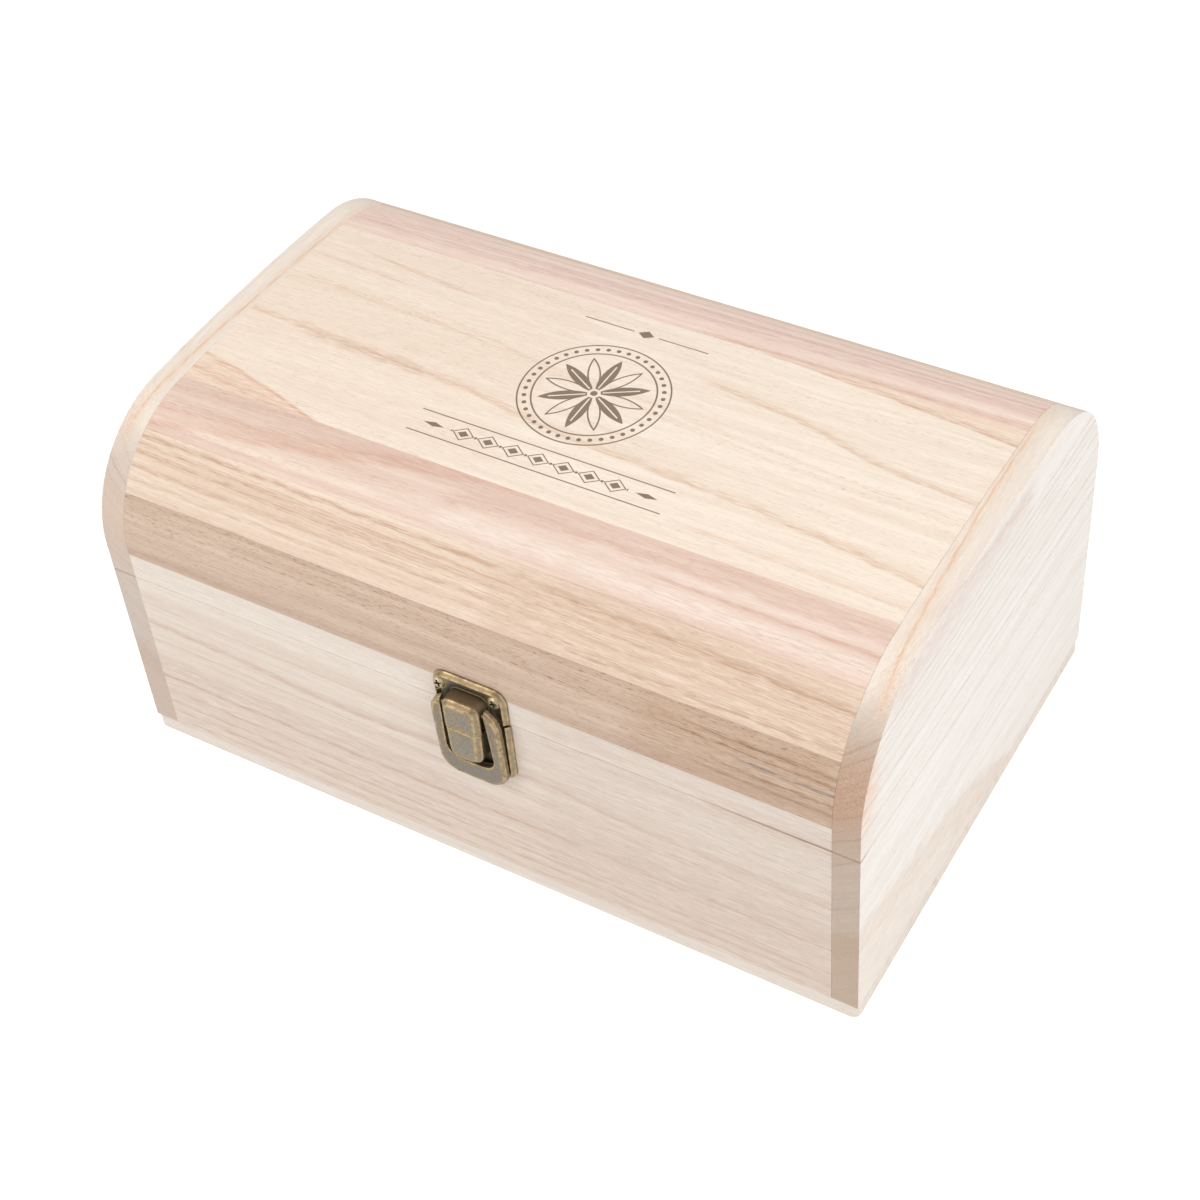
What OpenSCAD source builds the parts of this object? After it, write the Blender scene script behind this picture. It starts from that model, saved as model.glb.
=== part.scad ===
// Keepsake box: a chest of thin light boards with an arched lid, built closed and
// then sawn through into a base and a lid. A ring latch holds the front, and two
// small stop hinges carry the lid at the back.
// Millimetres. The origin is the middle of the underside: +X right, -Y front, +Z up.

/* [Box] */
// Length of the box, left to right
box_l = 300; // [240:1:360]
// Depth of the box, front to back
box_d = 195; // [175:1:230]
// Height at the crown of the closed lid
box_h = 145; // [141:0.5:160]
// Height of the saw cut between base and lid
saw_z = 85; // [78:0.5:86]
// Width of the saw cut
kerf = 0.2; // [0.1:0.05:0.8]

/* [Lid curve] */
// Radius of the lid's front and back shoulders
shoulder_r = 46; // [40:1:50]
// Radius of the crown between the shoulders
crown_r = 930; // [700:10:1500]

/* [Boards] */
// Thickness of the front, the back and the lid's shell
wall_t = 9.5; // [8.5:0.5:12]
// Thickness of the end panels
end_t = 10; // [8:0.5:14]
// Thickness of the bottom panel
bottom_t = 6.5; // [5:0.5:9]
// Corner radius of the bottom panel
bottom_r = 3; // [1:0.5:6]
// Height of the lid's straight rails above the saw cut
rail_h = 11; // [10:0.5:12]
// Angle above level of the seam between the first and second staves
seam_1_angle = 30.5; // [22:0.5:38]
// Angle above level of the seam between the second and third staves
seam_2_angle = 60.5; // [50:0.5:72]
// Distance that the third stave runs past the shoulder's centre
stave_lap = 1.5; // [0.5:0.5:6]

/* [Latch plates] */
// Distance of the latch from the middle of the front, to the right
latch_x = 5.8; // [-40:0.1:40]
// Distance of the plates' middle from the latch's middle, to the right
plate_shift = 0.3; // [0:0.1:0.6]
// Width of the plate on the lid
upper_plate_w = 29.3; // [29:0.1:36]
// Width of the plate on the base
lower_plate_w = 30.2; // [29:0.1:36]
// Distance that each plate stops short of the saw cut
plate_gap = 0.4; // [0:0.05:0.6]
// Height of the plate on the lid
upper_plate_h = 15.1; // [14.5:0.1:18]
// Height of the plate on the base
lower_plate_h = 28.3; // [27:0.1:34]
// Thickness of a latch plate at its raised rim
rim_t = 2.2; // [1.6:0.1:2.3]
// Thickness of a latch plate inside its rim
plate_t = 0.9; // [0.8:0.1:1.2]
// Width of the raised rim
rim_w = 2.6; // [2:0.1:3]
// Radius of the plates' outer corners
plate_r = 5.5; // [4:0.1:6]
// Width of the bevel round a plate's outer edge
rim_bevel = 1.5; // [0.3:0.1:1.5]
// Slope of the rim's inner side, measured across
rim_slope = 0.9; // [0.2:0.1:0.9]

/* [Latch blocks] */
// Distance of the front of both blocks from the wood
block_out = 8.5; // [8:0.1:10]
// Width of the keeper block on the lid
keeper_w = 14.8; // [14.4:0.1:16]
// Height of the keeper block
keeper_h = 12.4; // [12:0.1:13]
// Distance that the keeper block hangs below the saw cut
keeper_drop = 2.7; // [1:0.1:3]
// Radius of the keeper block's top corners
keeper_r = 3.4; // [2:0.1:3.8]
// Gap between the keeper block and the catch block below it
block_gap = 0.3; // [0.2:0.05:0.8]
// Width of the catch block at its top
catch_w = 14.3; // [14.2:0.1:15.2]
// Height of the catch block
catch_h = 15.6; // [15:0.1:17.5]
// Radius of the catch block's bottom corners
catch_r = 4.8; // [2:0.1:5.5]
// Taper of each side of the catch block, in degrees
catch_taper = 2; // [0.5:0.5:3]
// Width of the bevel round the front of both blocks
block_bevel = 1.7; // [0.5:0.1:1.8]

/* [Latch ring] */
// Outer width of the ring
ring_w = 27.4; // [27:0.1:29]
// Distance from the pin down to the ring's lower edge
ring_drop = 36.3; // [34:0.1:37]
// Height of the ring's lower bar
bar_h = 9; // [7:0.1:9.5]
// Width of the opening between the tops of the ring's arms
ring_gap = 17; // [16:0.1:17]
// Lean of each arm's inner side away from the middle, in degrees
ring_gap_spread = 2.2; // [1:0.1:3.5]
// Thickness of the ring
ring_t = 2.6; // [2.2:0.1:2.8]
// Outer radius of the ring's lower corners
ring_r = 8; // [6:0.1:9]
// Outer radius of the ring's shoulders
ring_top_r = 10; // [7:0.1:11.5]
// Height of the ring's shoulders above the pin
ring_rise = 4; // [3:0.1:4.8]
// Radius of the lower corners of the ring's opening
ring_gap_r = 5.5; // [4:0.1:7]
// Width of the bevel round the front of the ring
ring_bevel = 0.9; // [0.4:0.1:1.1]
// Height of the ring's pin above the saw cut
pin_up = 5.5; // [5:0.1:5.6]
// Distance of the ring's pin from the wood
pin_out = 5; // [4.9:0.1:5.2]
// Radius of the round ends that grip the pin
ring_end_r = 1.5; // [1.4:0.05:1.8]
// Outward reach of those round ends from the latch's middle
ring_end_x = 10.4; // [10:0.1:11]
// Diameter of the latch pin
latch_pin_d = 1.5; // [1.3:0.1:1.6]
// Width of each ear that carries the pin
ear_w = 2.8; // [2:0.1:3]
// Distance of each ear's inner side from the latch's middle
ear_x = 3.2; // [2.5:0.1:3.4]
// Radius of the ears round the pin
ear_r = 1.6; // [1.4:0.05:1.8]

/* [Hinges] */
// Distance of each hinge's middle from the end of the box
hinge_inset = 55; // [40:1:70]
// Length of a hinge along its pin
hinge_l = 30; // [26:0.5:36]
// Height of a hinge leaf from the pin
leaf_h = 12; // [11.5:0.1:12.5]
// Thickness of a hinge leaf
leaf_t = 1.2; // [1:0.1:1.4]
// Outer diameter of the hinge knuckles
knuckle_d = 4.4; // [4:0.1:4.8]
// Number of knuckles, base and lid together
knuckles = 5; // [5:2:5]
// Diameter of the hinge pin
hinge_pin_d = 2; // [1.6:0.1:2.2]
// Opening at which the stop lugs meet, in degrees
stop_angle = 106; // [100:1:112]
// Width of a stop lug
lug_w = 2.6; // [2:0.1:4]
// Reach of a stop lug from the pin
lug_reach = 7; // [6:0.1:8]

/* [Screws] */
// Shank diameter of every screw
shank_d = 2.2; // [1.8:0.1:2.4]
// Length of every screw below its head's rim
screw_l = 8; // [6:0.5:8.5]
// Head diameter of the latch screws
latch_head_d = 5; // [4.6:0.1:5.2]
// Rise of the latch screws' heads above the plate
latch_head_rise = 0.8; // [0.5:0.1:1]
// Distance of each latch screw from the middle of the two
latch_screw_x = 11; // [10.6:0.1:11.2]
// Distance of the middle of the two screws from the latch's middle, to the left
latch_screw_shift = 1; // [0:0.1:1.2]
// Clearance round a latch screw's head where it bites into the rim
head_gap = 0.35; // [0.2:0.05:0.5]
// Height of the latch's upper screws above the saw cut
upper_screw_up = 9; // [8.4:0.1:9.4]
// Drop of the latch's lower screws below the saw cut
lower_screw_down = 22; // [20:0.1:22.5]
// Head diameter of the hinge screws
hinge_head_d = 4.2; // [3.8:0.1:4.4]
// Distance of each hinge screw from the middle of its leaf
hinge_screw_x = 9; // [7:0.1:10]
// Distance of the hinge screws from the pin
hinge_screw_up = 7.4; // [7:0.1:8]

/* [Fits] */
// Clearance round a turning pin, on the radius
pin_fit = 0.05; // [0.02:0.01:0.1]
// Clearance round a screw, on the radius
screw_fit = 0.05; // [0.02:0.01:0.1]
// Gap between parts that pass close by each other
side_gap = 0.3; // [0.25:0.05:0.4]
// Gap between the hanging ring and the lower plate's rim
rest_gap = 0.1; // [0.05:0.05:0.2]
// Gap between neighbouring knuckles
knuckle_gap = 0.2; // [0.1:0.05:0.3]
// Gap between the back of the box and the turning knuckles
back_gap = 0.2; // [0.15:0.05:0.3]

/* [Hidden] */
$fn = 64;

front_wood = "#e7d9cd";
pale_wood = "#efe6da";
tan_wood = "#d9bfa4";
pink_wood = "#e2c8ba";
cream_wood = "#ecdcc4";
brass = "#8f8064";
dark_brass = "#6f6450";

// The saw cut's two faces, and the boards between bottom and cut
base_top = saw_z - kerf / 2;
lid_low = saw_z + kerf / 2;
rail_top = saw_z + rail_h;
board_l = box_l - 2 * end_t;

// Centres of the lid's arcs, where shoulder and crown run on smoothly
shoulder_y = box_d / 2 - shoulder_r;
crown_z = box_h - crown_r;
shoulder_z = crown_z + sqrt(pow(crown_r - shoulder_r, 2) - pow(shoulder_y, 2));
top_half = shoulder_y - stave_lap;
far = 4 * shoulder_r;

// Latch heights
pin_z = saw_z + pin_up;
keeper_low = saw_z - keeper_drop;
catch_top = keeper_low - block_gap;
ear_slot_side = ear_x - side_gap;
ear_slot_w = ear_w + 2 * side_gap;
pin_slot_w = latch_pin_d + 2 * side_gap;
grip_x = keeper_w / 2 + side_gap;
pin_end_x = ring_end_x - 0.6;

// The ring leans back until its lower bar lies just off the lower plate's rim
lean = asin((pin_out - ring_t / 2 - rim_t - rest_gap) / (pin_up + lower_plate_h - rim_bevel));

// Hinge places
hinge_x = box_l / 2 - hinge_inset;
hinge_y = box_d / 2 + knuckle_d / 2 + back_gap;
leaf_back = -(knuckle_d / 2 + back_gap);
leaf_face = leaf_back + leaf_t;
knuckle_l = hinge_l / knuckles;
leaf_start = knuckle_d / 2 + 0.6;
lug_angle = (180 - stop_angle) / 2;

// ---------------------------------------------------------------- shared shapes

// Lays a section drawn in (y, z) along the box, centred, with the given length
module along_x(length) {
    rotate([90, 0, 90])
        linear_extrude(height = length, center = true)
            children();
}

// Outline of the closed box's end, drawn inward by a board's thickness
module arch(inset) {
    reach = (crown_r + box_h) / (crown_r - shoulder_r);
    translate([-box_d / 2 + inset, 0])
        square([box_d - 2 * inset, shoulder_z]);
    for (side = [-1, 1])
        translate([side * shoulder_y, shoulder_z])
            circle(r = shoulder_r - inset, $fn = 180);
    intersection() {
        translate([0, crown_z])
            circle(r = crown_r - inset, $fn = 1440);
        polygon([
            [-shoulder_y, shoulder_z],
            [shoulder_y, shoulder_z],
            [reach * shoulder_y, crown_z + reach * (shoulder_z - crown_z)],
            [-reach * shoulder_y, crown_z + reach * (shoulder_z - crown_z)]
        ]);
    }
}

// Section of the hollow shell between the two end panels
module shell_section() {
    difference() {
        arch(0);
        arch(wall_t);
    }
}

// The part of the shell above a height
module above(z) {
    difference() {
        children();
        translate([-box_d, -1])
            square([2 * box_d, z + 1]);
    }
}

// Wedge of the front shoulder between two angles above level
module shoulder_wedge(low, high) {
    translate([-shoulder_y, shoulder_z])
        polygon([
            [0, 0],
            [-far * cos(low), far * sin(low)],
            [-far * cos(high), far * sin(high)]
        ]);
}

// A flat plate in x and y, from y = 0 to y = length, whose sides lean in as it rises.
// near_r and far_r round its corners; with near_r = 0 the near edge is square and upright.
module leaning_plate(width, length, near_r, far_r, height, lean_in) {
    translate([0, length - far_r, 0])
        rotate([90, 0, 0])
            linear_extrude(height = length - far_r - near_r)
                polygon([
                    [-width / 2, 0],
                    [width / 2, 0],
                    [width / 2 - lean_in, height],
                    [-width / 2 + lean_in, height]
                ]);
    corner_band(width, far_r, height, lean_in, length);
    if (near_r > 0)
        translate([0, near_r * 2, 0])
            mirror([0, 1, 0])
                corner_band(width, near_r, height, lean_in, near_r * 2);
}

// The two rounded corners of a leaning plate and the strip between them
module corner_band(width, radius, height, lean_in, edge) {
    translate([0, edge - radius, 0])
        rotate([90, 0, 90])
            linear_extrude(height = width - 2 * radius, center = true)
                polygon([[0, 0], [radius, 0], [radius - lean_in, height], [0, height]]);
    for (side = [-1, 1])
        translate([side * (width / 2 - radius), edge - radius, 0])
            cylinder(h = height, r1 = radius, r2 = radius - lean_in);
}

// A plate with upright sides and a 45 degree bevel round its front.
// It is what an upright plate shares with one that leans in from a wider foot.
module bevelled_plate(width, length, near_r, far_r, height, bevel) {
    foot = height - bevel;
    near_foot = near_r > 0 ? foot : 0;
    intersection() {
        leaning_plate(width, length, near_r, far_r, height, 0);
        if (bevel > 0)
            translate([0, -near_foot, 0])
                leaning_plate(width + 2 * foot, length + foot + near_foot, near_r + near_foot,
                    far_r + foot, height, height);
    }
}

// A bevelled plate whose two long sides close in by an angle towards its far edge.
// It is what two wide plates share, each turned so that one side has that angle.
module tapered_plate(width, length, far_r, height, bevel, taper) {
    spare = width;
    intersection_for(side = [-1, 1])
        translate([side * width / 2, 0, 0])
            rotate([0, 0, side * taper])
                translate([-side * (width + spare) / 2, -2, 0])
                    bevelled_plate(width + spare, length + 2, 0, far_r, height, bevel);
}

// A latch plate from the saw cut outwards, with its raised rim on three sides
module dished_plate(width, length) {
    translate([plate_shift, 0, 0])
        difference() {
            translate([0, plate_gap, 0])
                bevelled_plate(width, length - plate_gap, 0, plate_r, rim_t, rim_bevel);
            translate([0, -1, plate_t])
                leaning_plate(width - 2 * rim_w, length - rim_w + 1, 0, plate_r - rim_w,
                    rim_t - plate_t + 0.01, -rim_slope);
        }
}

// Stands a shape drawn flat up against the front of the box, at the latch
module on_front(z) {
    translate([latch_x, -box_d / 2, z])
        rotate([90, 0, 0])
            children();
}

// Places a shape whose +z points out of the wood at each hinge screw of one side
module at_hinge_screws(up) {
    for (hinge = [-1, 1])
        for (side = [-1, 1])
            translate([hinge * hinge_x + side * hinge_screw_x, hinge_y + leaf_face,
                    saw_z + up * hinge_screw_up])
                rotate([-90, 0, 0])
                    children();
}

// Places a shape at each latch screw at a height
module at_latch_screws(z) {
    for (side = [-1, 1])
        on_front(z)
            translate([side * latch_screw_x - latch_screw_shift, 0, plate_t])
                children();
}

// A countersunk screw along z, its rim at z = 0, with a cross recess in the head
module screw(head_d, head_h, rise) {
    point_l = 1.6;
    slot_w = 0.16 * head_d;
    slot_l = 0.62 * head_d;
    slot_depth = 0.8;
    difference() {
        union() {
            translate([0, 0, -head_h])
                cylinder(h = head_h, d1 = shank_d, d2 = head_d);
            if (rise > 0)
                cylinder(h = rise, d1 = head_d, d2 = head_d - 1.6 * rise);
            translate([0, 0, -screw_l + point_l])
                cylinder(h = screw_l - point_l - head_h + 0.01, d = shank_d);
            translate([0, 0, -screw_l])
                cylinder(h = point_l, d1 = 0.4, d2 = shank_d);
        }
        for (turn = [20, 110])
            rotate([0, 0, turn])
                translate([-slot_l / 2, -slot_w / 2, rise - slot_depth])
                    cube([slot_l, slot_w, slot_depth + 1]);
    }
}

// The hole that a screw passes through in a plate of the given thickness
module screw_seat(head_d, head_h, thickness) {
    translate([0, 0, -head_h])
        cylinder(h = head_h, d1 = shank_d + 2 * screw_fit, d2 = head_d + 2 * screw_fit);
    translate([0, 0, -thickness - 1])
        cylinder(h = thickness + 1, d = shank_d + 2 * screw_fit);
}

// A latch screw's hole, with room for its head beside the raised rim
module latch_screw_seat() {
    screw_seat(latch_head_d, plate_t, plate_t);
    cylinder(h = rim_t, r = latch_head_d / 2 + head_gap);
}

// The pilot hole in the wood for a screw whose rim is at z = 0
module pilot() {
    translate([0, 0, -screw_l - 0.3])
        cylinder(h = screw_l, d = shank_d + 2 * screw_fit);
}

// ------------------------------------------------------------------------ base

module bottom_panel() {
    color(front_wood)
        linear_extrude(height = bottom_t)
            union() {
                square([box_l - 2 * bottom_r, box_d], center = true);
                square([box_l, box_d - 2 * bottom_r], center = true);
                for (x = [-1, 1])
                    for (y = [-1, 1])
                        translate([x * (box_l / 2 - bottom_r), y * (box_d / 2 - bottom_r)])
                            circle(r = bottom_r);
            }
}

module base_board() {
    translate([-board_l / 2, -box_d / 2, bottom_t])
        cube([board_l, wall_t, base_top - bottom_t]);
}

module base_front_board() {
    color(front_wood)
        difference() {
            base_board();
            at_latch_screws(saw_z - lower_screw_down)
                pilot();
        }
}

module base_back_board() {
    color(front_wood)
        difference() {
            mirror([0, 1, 0])
                base_board();
            at_hinge_screws(-1)
                pilot();
        }
}

module base_end(side) {
    color(pale_wood)
        translate([side * (box_l - end_t) / 2, 0, (bottom_t + base_top) / 2])
            cube([end_t, box_d, base_top - bottom_t], center = true);
}

// ------------------------------------------------------------------------- lid

module rail() {
    along_x(board_l)
        intersection() {
            shell_section();
            translate([-box_d, lid_low])
                square([box_d, rail_top - lid_low]);
        }
}

module lid_front_rail() {
    color(front_wood)
        difference() {
            rail();
            at_latch_screws(saw_z + upper_screw_up)
                pilot();
        }
}

module lid_back_rail() {
    color(front_wood)
        difference() {
            mirror([0, 1, 0])
                rail();
            at_hinge_screws(1)
                pilot();
        }
}

// The three curved staves of the front, counted from the rail upwards
module stave(number) {
    along_x(board_l)
        intersection() {
            shell_section();
            if (number == 1)
                above(rail_top)
                    shoulder_wedge(-seam_2_angle, seam_1_angle);
            if (number == 2)
                shoulder_wedge(seam_1_angle, seam_2_angle);
            if (number == 3)
                polygon([
                    [-shoulder_y, shoulder_z],
                    [-shoulder_y - far * cos(seam_2_angle), shoulder_z + far * sin(seam_2_angle)],
                    [-top_half, shoulder_z + far],
                    [-top_half, shoulder_z]
                ]);
        }
}

module lid_front_stave(number) {
    color([tan_wood, cream_wood, pink_wood][number - 1])
        stave(number);
}

module lid_back_stave(number) {
    color([tan_wood, cream_wood, pink_wood][number - 1])
        mirror([0, 1, 0])
            stave(number);
}

module lid_top_board() {
    color(cream_wood)
        along_x(board_l)
            intersection() {
                shell_section();
                translate([-top_half, shoulder_z])
                    square([2 * top_half, far]);
            }
}

module lid_end(side) {
    color(pale_wood)
        translate([side * (box_l - end_t) / 2, 0, 0])
            along_x(end_t)
                above(lid_low)
                    arch(0);
}

// ----------------------------------------------------------------------- latch

// The plate on the lid, with the keeper block that drops over the ears and the pin
module latch_upper_plate() {
    ear_top = pin_z + ear_r + side_gap;
    color(brass)
        difference() {
            union() {
                on_front(lid_low)
                    dished_plate(upper_plate_w, upper_plate_h);
                on_front(keeper_low)
                    bevelled_plate(keeper_w, keeper_h, 0, keeper_r, block_out, block_bevel);
            }
            // The keeper block stands clear of the base's plate below the saw cut
            translate([latch_x - keeper_w, -box_d / 2 - rim_t - side_gap, keeper_low - 1])
                cube([2 * keeper_w, rim_t + side_gap + 1, lid_low - keeper_low + 1]);
            // Two slots for the ears
            for (side = [-1, 1])
                translate([latch_x + side * (ear_x + ear_w / 2), -box_d / 2 - pin_out,
                        (keeper_low - 1 + ear_top) / 2])
                    cube([ear_slot_w, 2 * (ear_r + side_gap), ear_top - keeper_low + 1],
                        center = true);
            // The slot that lets the pin in from below, with its round end
            translate([latch_x - keeper_w, -box_d / 2 - pin_out - pin_slot_w / 2, keeper_low - 1])
                cube([2 * keeper_w, pin_slot_w, pin_z - keeper_low + 1]);
            translate([latch_x, -box_d / 2 - pin_out, pin_z])
                rotate([0, 90, 0])
                    cylinder(h = 2 * keeper_w, d = pin_slot_w, center = true);
            at_latch_screws(saw_z + upper_screw_up)
                latch_screw_seat();
        }
}

// The tapered block below the keeper, square at its top
module catch_block() {
    intersection() {
        tapered_plate(catch_w, catch_h, catch_r, block_out, block_bevel, catch_taper);
        translate([-catch_w, 0, 0])
            cube([2 * catch_w, catch_h + 2, block_out]);
    }
}

// One of the two ears that stand up inside the keeper block
module ear(side) {
    ear_base = catch_top - 1;
    translate([latch_x + side * (ear_x + ear_w / 2), -box_d / 2 - pin_out, 0]) {
        translate([-ear_w / 2, -ear_r, ear_base])
            cube([ear_w, 2 * ear_r, pin_z - ear_base]);
        translate([0, 0, pin_z])
            rotate([0, 90, 0])
                cylinder(h = ear_w, r = ear_r, center = true);
    }
}

// The plate on the base, with its catch block and the ears that carry the pin
module latch_lower_plate() {
    color(brass)
        difference() {
            union() {
                on_front(base_top)
                    mirror([0, 1, 0])
                        dished_plate(lower_plate_w, lower_plate_h);
                on_front(catch_top)
                    mirror([0, 1, 0])
                        catch_block();
                for (side = [-1, 1])
                    ear(side);
            }
            translate([latch_x, -box_d / 2 - pin_out, pin_z])
                rotate([0, 90, 0])
                    cylinder(h = keeper_w, r = latch_pin_d / 2 + pin_fit, center = true);
            at_latch_screws(saw_z - lower_screw_down)
                latch_screw_seat();
        }
}

// The flat ring, hung on the pin and leaning back against the lower plate
module latch_ring() {
    above_ring = ring_rise + 1;
    color(dark_brass)
        translate([latch_x, -box_d / 2 - pin_out, pin_z])
            difference() {
                union() {
                    rotate([lean, 0, 0])
                        rotate([90, 0, 0])
                            translate([0, 0, -ring_t / 2])
                                mirror([0, 1, 0])
                                    translate([0, -ring_rise, 0])
                                        bevelled_plate(ring_w, ring_drop + ring_rise, ring_top_r,
                                            ring_r, ring_t, ring_bevel);
                    for (side = [-1, 1])
                        translate([side * (grip_x + ring_end_x) / 2, 0, 0])
                            rotate([0, 90, 0])
                                cylinder(h = ring_end_x - grip_x, r = ring_end_r, center = true);
                }
                // The opening between the arms
                rotate([lean, 0, 0])
                    rotate([90, 0, 0])
                        translate([0, 0, -ring_t])
                            mirror([0, 1, 0])
                                translate([0, -above_ring, 0])
                                    tapered_plate(ring_gap, ring_drop - bar_h + above_ring,
                                        ring_gap_r, 2 * ring_t, 0, -ring_gap_spread);
                rotate([0, 90, 0])
                    cylinder(h = 2 * pin_end_x, r = latch_pin_d / 2, center = true);
            }
}

module latch_pin() {
    color(brass)
        translate([latch_x, -box_d / 2 - pin_out, pin_z])
            rotate([0, 90, 0])
                cylinder(h = 2 * pin_end_x, d = latch_pin_d, center = true);
}

module latch_lid_screws() {
    color(brass)
        at_latch_screws(saw_z + upper_screw_up)
            screw(latch_head_d, plate_t, latch_head_rise);
}

module latch_base_screws() {
    color(brass)
        at_latch_screws(saw_z - lower_screw_down)
            screw(latch_head_d, plate_t, 0);
}

// ---------------------------------------------------------------------- hinges

// A knuckle round the pin with the short tail that joins it to its leaf
module knuckle(number) {
    middle = (number - (knuckles - 1) / 2) * knuckle_l;
    length = knuckle_l - knuckle_gap;
    translate([middle, 0, 0])
        rotate([0, 90, 0])
            cylinder(h = length, d = knuckle_d, center = true);
    translate([middle - length / 2, leaf_back, 0])
        cube([length, leaf_t, leaf_start + 0.1]);
}

// The lug on a leaf, whose sloping face meets the other leaf's lug
module stop_lug() {
    inner = knuckle_d / 2 + 0.4;
    along_x(lug_w)
        polygon([
            [leaf_face - 0.1, leaf_start],
            [inner * sin(lug_angle), inner * cos(lug_angle)],
            [lug_reach * sin(lug_angle), lug_reach * cos(lug_angle)],
            [leaf_face - 0.1, lug_reach + 1]
        ]);
}

// One leaf about its pin, standing upwards: first is 0 for the base and 1 for the lid
module leaf(first) {
    translate([0, hinge_y, saw_z])
        mirror([0, 0, 1 - first])
            difference() {
                union() {
                    translate([-hinge_l / 2, leaf_back, leaf_start])
                        cube([hinge_l, leaf_t, leaf_h - leaf_start]);
                    for (number = [first : 2 : knuckles - 1])
                        knuckle(number);
                    stop_lug();
                }
                rotate([0, 90, 0])
                    cylinder(h = hinge_l + 1, r = hinge_pin_d / 2 + pin_fit, center = true);
            }
}

module hinge_base_leaf(side) {
    color(brass)
        difference() {
            translate([side * hinge_x, 0, 0])
                leaf(0);
            at_hinge_screws(-1)
                screw_seat(hinge_head_d, leaf_t - 0.1, leaf_t);
        }
}

module hinge_lid_leaf(side) {
    color(brass)
        difference() {
            translate([side * hinge_x, 0, 0])
                leaf(1);
            at_hinge_screws(1)
                screw_seat(hinge_head_d, leaf_t - 0.1, leaf_t);
        }
}

module hinge_pin(side) {
    color(dark_brass)
        translate([side * hinge_x, hinge_y, saw_z])
            rotate([0, 90, 0])
                cylinder(h = hinge_l, d = hinge_pin_d, center = true);
}

module hinge_screws(up) {
    color(brass)
        at_hinge_screws(up)
            screw(hinge_head_d, leaf_t - 0.1, 0);
}

// ----------------------------------------------------------------------- nodes

bottom_panel();
base_front_board();
base_back_board();
base_end(-1);  // base_left_end
base_end(1);  // base_right_end
lid_front_rail();
lid_front_stave(1);  // lid_front_stave_1
lid_front_stave(2);  // lid_front_stave_2
lid_front_stave(3);  // lid_front_stave_3
lid_top_board();
lid_back_stave(3);  // lid_back_stave_3
lid_back_stave(2);  // lid_back_stave_2
lid_back_stave(1);  // lid_back_stave_1
lid_back_rail();
lid_end(-1);  // lid_left_end
lid_end(1);  // lid_right_end
latch_upper_plate();
latch_lower_plate();
latch_ring();
latch_pin();
latch_lid_screws();
latch_base_screws();
hinge_base_leaf(-1);  // left_hinge_base_leaf
hinge_lid_leaf(-1);  // left_hinge_lid_leaf
hinge_pin(-1);  // left_hinge_pin
hinge_base_leaf(1);  // right_hinge_base_leaf
hinge_lid_leaf(1);  // right_hinge_lid_leaf
hinge_pin(1);  // right_hinge_pin
hinge_screws(-1);  // hinge_base_screws
hinge_screws(1);  // hinge_lid_screws
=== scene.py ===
# %% [markdown]
# # A keepsake box in light wood
# The frame already holds every board, latch part and hinge at its real size. This lesson dresses
# them. Each board gets its own grain, the latch gets the look of antique brass that was cast and
# tumbled, and the lid gets an engraved ornament. All sizes in the grain are in millimetres, read
# off the box itself, so that a line of the wood can be put where it belongs.

# %% Load the frame and keep its box
import math

import bmesh
import bpy
from mathutils import Matrix, Vector
from mathutils.kdtree import KDTree


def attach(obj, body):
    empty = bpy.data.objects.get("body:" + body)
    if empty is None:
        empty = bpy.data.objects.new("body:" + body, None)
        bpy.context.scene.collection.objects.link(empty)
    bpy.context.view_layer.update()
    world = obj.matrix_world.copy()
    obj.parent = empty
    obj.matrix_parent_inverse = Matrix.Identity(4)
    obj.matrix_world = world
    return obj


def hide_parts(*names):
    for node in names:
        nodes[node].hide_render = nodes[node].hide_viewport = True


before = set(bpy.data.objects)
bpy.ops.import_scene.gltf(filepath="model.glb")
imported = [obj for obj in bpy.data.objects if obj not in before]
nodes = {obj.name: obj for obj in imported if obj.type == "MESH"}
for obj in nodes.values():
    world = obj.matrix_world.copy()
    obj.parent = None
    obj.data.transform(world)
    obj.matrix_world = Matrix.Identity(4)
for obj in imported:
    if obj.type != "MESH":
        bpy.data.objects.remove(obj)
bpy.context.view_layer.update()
bpy.ops.object.select_all(action="DESELECT")

# %% [markdown]
# ## The camera
# The photograph looks down on the box from its front right, with a long lens and a slight roll.
# The three angles give the camera's own axes, and a matrix built from those axes turns it.

# %% Camera
CAMERA_PLACE = Vector((0.34137, -0.51070, 0.65607))
AZIMUTH = math.radians(34.1007)
ELEVATION = math.radians(44.7111)
ROLL = math.radians(-5.5122)
LENS = 69.21
SENSOR_WIDTH = 36
NEAREST = 0.01

back = Vector((math.sin(AZIMUTH) * math.cos(ELEVATION), -math.cos(AZIMUTH) * math.cos(ELEVATION),
               math.sin(ELEVATION)))
level_right = Vector((math.cos(AZIMUTH), math.sin(AZIMUTH), 0))
level_up = back.cross(level_right)
camera_right = math.cos(ROLL) * level_right + math.sin(ROLL) * level_up
camera_up = math.cos(ROLL) * level_up - math.sin(ROLL) * level_right
camera_turn = Matrix((camera_right, camera_up, back)).transposed()

bpy.ops.object.camera_add()
camera = bpy.context.object
camera.name = "photo_camera"
camera.matrix_world = Matrix.Translation(CAMERA_PLACE) @ camera_turn.to_4x4()
camera.data.sensor_width = SENSOR_WIDTH
camera.data.lens = LENS
camera.data.clip_start = NEAREST
bpy.context.scene.camera = camera
bpy.context.scene.view_settings.view_transform = "Standard"
print("camera at", tuple(CAMERA_PLACE))

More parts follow.
